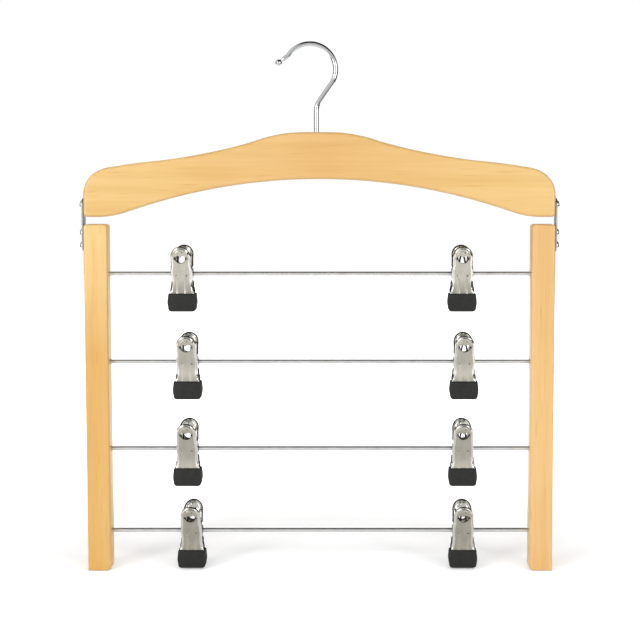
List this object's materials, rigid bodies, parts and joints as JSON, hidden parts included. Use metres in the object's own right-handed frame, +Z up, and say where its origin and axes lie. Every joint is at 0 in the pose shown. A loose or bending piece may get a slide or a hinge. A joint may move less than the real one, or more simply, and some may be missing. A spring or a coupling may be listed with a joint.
{
  "type": "multi-tier clip hanger",
  "caption": "Wooden clothes hanger with a swivelling wire hook and a ladder of steel rods that carry sliding sprung clips for trousers and skirts.",
  "frame": {"origin": "inside top of the hook's crook, where it rests on a rail", "axes": "+X to the hanger's right seen from the front, +Y to the back, +Z up"},
  "size_m": [0.3774, 0.0278, 0.4194],
  "materials": {
    "lacquered_wood": "clear satin lacquer over pale straight-grained wood",
    "chromed_wire": "bright chrome plate",
    "plated_rod": "bright plated drawn rod",
    "nickel_sheet": "satin nickel plate on pressed sheet",
    "spring_steel": "drawn spring wire, lightly plated",
    "zinc_screw": "bright zinc plate",
    "black_vinyl": "matt dipped vinyl"
  },
  "bodies": {
    "hook": {"hook": "chromed_wire", "hook_washer": "chromed_wire"},
    "shoulder": {"shoulder_bar": "lacquered_wood", "pivot_screw_left": "zinc_screw", "pivot_screw_right": "zinc_screw"},
    "ladder": {"side_bar_left": "lacquered_wood", "side_bar_right": "lacquered_wood", "strap_left": "zinc_screw", "strap_right": "zinc_screw", "strap_screw_left_upper": "zinc_screw", "strap_screw_left_lower": "zinc_screw", "strap_screw_right_upper": "zinc_screw", "strap_screw_right_lower": "zinc_screw", "row_1_rod": "plated_rod", "row_2_rod": "plated_rod", "row_3_rod": "plated_rod", "row_4_rod": "plated_rod"},
    "row_1_left_slider": {"row_1_left_spring": "spring_steel"},
    "row_1_left_front": {"row_1_left_front_jaw": "nickel_sheet", "row_1_left_front_boot": "black_vinyl"},
    "row_1_left_rear": {"row_1_left_rear_jaw": "nickel_sheet", "row_1_left_rear_boot": "black_vinyl"},
    "row_1_right_slider": {"row_1_right_spring": "spring_steel"},
    "row_1_right_front": {"row_1_right_front_jaw": "nickel_sheet", "row_1_right_front_boot": "black_vinyl"},
    "row_1_right_rear": {"row_1_right_rear_jaw": "nickel_sheet", "row_1_right_rear_boot": "black_vinyl"},
    "row_2_left_slider": {"row_2_left_spring": "spring_steel"},
    "row_2_left_front": {"row_2_left_front_jaw": "nickel_sheet", "row_2_left_front_boot": "black_vinyl"},
    "row_2_left_rear": {"row_2_left_rear_jaw": "nickel_sheet", "row_2_left_rear_boot": "black_vinyl"},
    "row_2_right_slider": {"row_2_right_spring": "spring_steel"},
    "row_2_right_front": {"row_2_right_front_jaw": "nickel_sheet", "row_2_right_front_boot": "black_vinyl"},
    "row_2_right_rear": {"row_2_right_rear_jaw": "nickel_sheet", "row_2_right_rear_boot": "black_vinyl"},
    "row_3_left_slider": {"row_3_left_spring": "spring_steel"},
    "row_3_left_front": {"row_3_left_front_jaw": "nickel_sheet", "row_3_left_front_boot": "black_vinyl"},
    "row_3_left_rear": {"row_3_left_rear_jaw": "nickel_sheet", "row_3_left_rear_boot": "black_vinyl"},
    "row_3_right_slider": {"row_3_right_spring": "spring_steel"},
    "row_3_right_front": {"row_3_right_front_jaw": "nickel_sheet", "row_3_right_front_boot": "black_vinyl"},
    "row_3_right_rear": {"row_3_right_rear_jaw": "nickel_sheet", "row_3_right_rear_boot": "black_vinyl"},
    "row_4_left_slider": {"row_4_left_spring": "spring_steel"},
    "row_4_left_front": {"row_4_left_front_jaw": "nickel_sheet", "row_4_left_front_boot": "black_vinyl"},
    "row_4_left_rear": {"row_4_left_rear_jaw": "nickel_sheet", "row_4_left_rear_boot": "black_vinyl"},
    "row_4_right_slider": {"row_4_right_spring": "spring_steel"},
    "row_4_right_front": {"row_4_right_front_jaw": "nickel_sheet", "row_4_right_front_boot": "black_vinyl"},
    "row_4_right_rear": {"row_4_right_rear_jaw": "nickel_sheet", "row_4_right_rear_boot": "black_vinyl"}
  },
  "joints": [
    {"name": "hook_swivel", "type": "hinge", "parent": "hook", "child": "shoulder", "pos_m": [0.0048, 0, -0.0669], "axis": [0, 0, 1], "continuous": true},
    {"name": "ladder_swing", "type": "hinge", "parent": "shoulder", "child": "ladder", "pos_m": [0.0072, 0, -0.1236], "axis": [1, 0, 0], "range_deg": [-125, 125]},
    {"name": "row_1_left_slide", "type": "slide", "parent": "ladder", "child": "row_1_left_slider", "axis": [1, 0, 0], "range_m": [-0.04544, 0.09606]},
    {"name": "row_1_left_swing", "type": "hinge", "parent": "row_1_left_slider", "child": "row_1_left_front", "pos_m": [-0.10136, 0, -0.1782], "axis": [1, 0, 0], "continuous": true, "deforming": ["row_1_left_spring"]},
    {"name": "row_1_left_open", "type": "hinge", "parent": "row_1_left_front", "child": "row_1_left_rear", "pos_m": [-0.10136, 0, -0.1782], "axis": [1, 0, 0], "range_deg": [0, 52], "stiffness_Nm_per_rad": 0.15, "springref_deg": -68.75, "deforming": ["row_1_left_spring"]},
    {"name": "row_1_right_slide", "type": "slide", "parent": "ladder", "child": "row_1_right_slider", "axis": [1, 0, 0], "range_m": [-0.09989, 0.04161]},
    {"name": "row_1_right_swing", "type": "hinge", "parent": "row_1_right_slider", "child": "row_1_right_front", "pos_m": [0.11959, 0, -0.1782], "axis": [1, 0, 0], "continuous": true, "deforming": ["row_1_right_spring"]},
    {"name": "row_1_right_open", "type": "hinge", "parent": "row_1_right_front", "child": "row_1_right_rear", "pos_m": [0.11959, 0, -0.1782], "axis": [1, 0, 0], "range_deg": [0, 52], "stiffness_Nm_per_rad": 0.15, "springref_deg": -68.75, "deforming": ["row_1_right_spring"]},
    {"name": "row_2_left_slide", "type": "slide", "parent": "ladder", "child": "row_2_left_slider", "axis": [1, 0, 0], "range_m": [-0.04894, 0.09256]},
    {"name": "row_2_left_swing", "type": "hinge", "parent": "row_2_left_slider", "child": "row_2_left_front", "pos_m": [-0.09786, 0, -0.24821], "axis": [1, 0, 0], "continuous": true, "deforming": ["row_2_left_spring"]},
    {"name": "row_2_left_open", "type": "hinge", "parent": "row_2_left_front", "child": "row_2_left_rear", "pos_m": [-0.09786, 0, -0.24821], "axis": [1, 0, 0], "range_deg": [0, 52], "stiffness_Nm_per_rad": 0.15, "springref_deg": -68.75, "deforming": ["row_2_left_spring"]},
    {"name": "row_2_right_slide", "type": "slide", "parent": "ladder", "child": "row_2_right_slider", "axis": [1, 0, 0], "range_m": [-0.10172, 0.03978]},
    {"name": "row_2_right_swing", "type": "hinge", "parent": "row_2_right_slider", "child": "row_2_right_front", "pos_m": [0.12142, 0, -0.24821], "axis": [1, 0, 0], "continuous": true, "deforming": ["row_2_right_spring"]},
    {"name": "row_2_right_open", "type": "hinge", "parent": "row_2_right_front", "child": "row_2_right_rear", "pos_m": [0.12142, 0, -0.24821], "axis": [1, 0, 0], "range_deg": [0, 52], "stiffness_Nm_per_rad": 0.15, "springref_deg": -68.75, "deforming": ["row_2_right_spring"]},
    {"name": "row_3_left_slide", "type": "slide", "parent": "ladder", "child": "row_3_left_slider", "axis": [1, 0, 0], "range_m": [-0.04844, 0.09306]},
    {"name": "row_3_left_swing", "type": "hinge", "parent": "row_3_left_slider", "child": "row_3_left_front", "pos_m": [-0.09836, 0, -0.318], "axis": [1, 0, 0], "continuous": true, "deforming": ["row_3_left_spring"]},
    {"name": "row_3_left_open", "type": "hinge", "parent": "row_3_left_front", "child": "row_3_left_rear", "pos_m": [-0.09836, 0, -0.318], "axis": [1, 0, 0], "range_deg": [0, 52], "stiffness_Nm_per_rad": 0.15, "springref_deg": -68.75, "deforming": ["row_3_left_spring"]},
    {"name": "row_3_right_slide", "type": "slide", "parent": "ladder", "child": "row_3_right_slider", "axis": [1, 0, 0], "range_m": [-0.10105, 0.04045]},
    {"name": "row_3_right_swing", "type": "hinge", "parent": "row_3_right_slider", "child": "row_3_right_front", "pos_m": [0.12075, 0, -0.318], "axis": [1, 0, 0], "continuous": true, "deforming": ["row_3_right_spring"]},
    {"name": "row_3_right_open", "type": "hinge", "parent": "row_3_right_front", "child": "row_3_right_rear", "pos_m": [0.12075, 0, -0.318], "axis": [1, 0, 0], "range_deg": [0, 52], "stiffness_Nm_per_rad": 0.15, "springref_deg": -68.75, "deforming": ["row_3_right_spring"]},
    {"name": "row_4_left_slide", "type": "slide", "parent": "ladder", "child": "row_4_left_slider", "axis": [1, 0, 0], "range_m": [-0.05127, 0.09023]},
    {"name": "row_4_left_swing", "type": "hinge", "parent": "row_4_left_slider", "child": "row_4_left_front", "pos_m": [-0.09553, 0, -0.38441], "axis": [1, 0, 0], "continuous": true, "deforming": ["row_4_left_spring"]},
    {"name": "row_4_left_open", "type": "hinge", "parent": "row_4_left_front", "child": "row_4_left_rear", "pos_m": [-0.09553, 0, -0.38441], "axis": [1, 0, 0], "range_deg": [0, 52], "stiffness_Nm_per_rad": 0.15, "springref_deg": -68.75, "deforming": ["row_4_left_spring"]},
    {"name": "row_4_right_slide", "type": "slide", "parent": "ladder", "child": "row_4_right_slider", "axis": [1, 0, 0], "range_m": [-0.10155, 0.03995]},
    {"name": "row_4_right_swing", "type": "hinge", "parent": "row_4_right_slider", "child": "row_4_right_front", "pos_m": [0.12125, 0, -0.38441], "axis": [1, 0, 0], "continuous": true, "deforming": ["row_4_right_spring"]},
    {"name": "row_4_right_open", "type": "hinge", "parent": "row_4_right_front", "child": "row_4_right_rear", "pos_m": [0.12125, 0, -0.38441], "axis": [1, 0, 0], "range_deg": [0, 52], "stiffness_Nm_per_rad": 0.15, "springref_deg": -68.75, "deforming": ["row_4_right_spring"]}
  ]
}
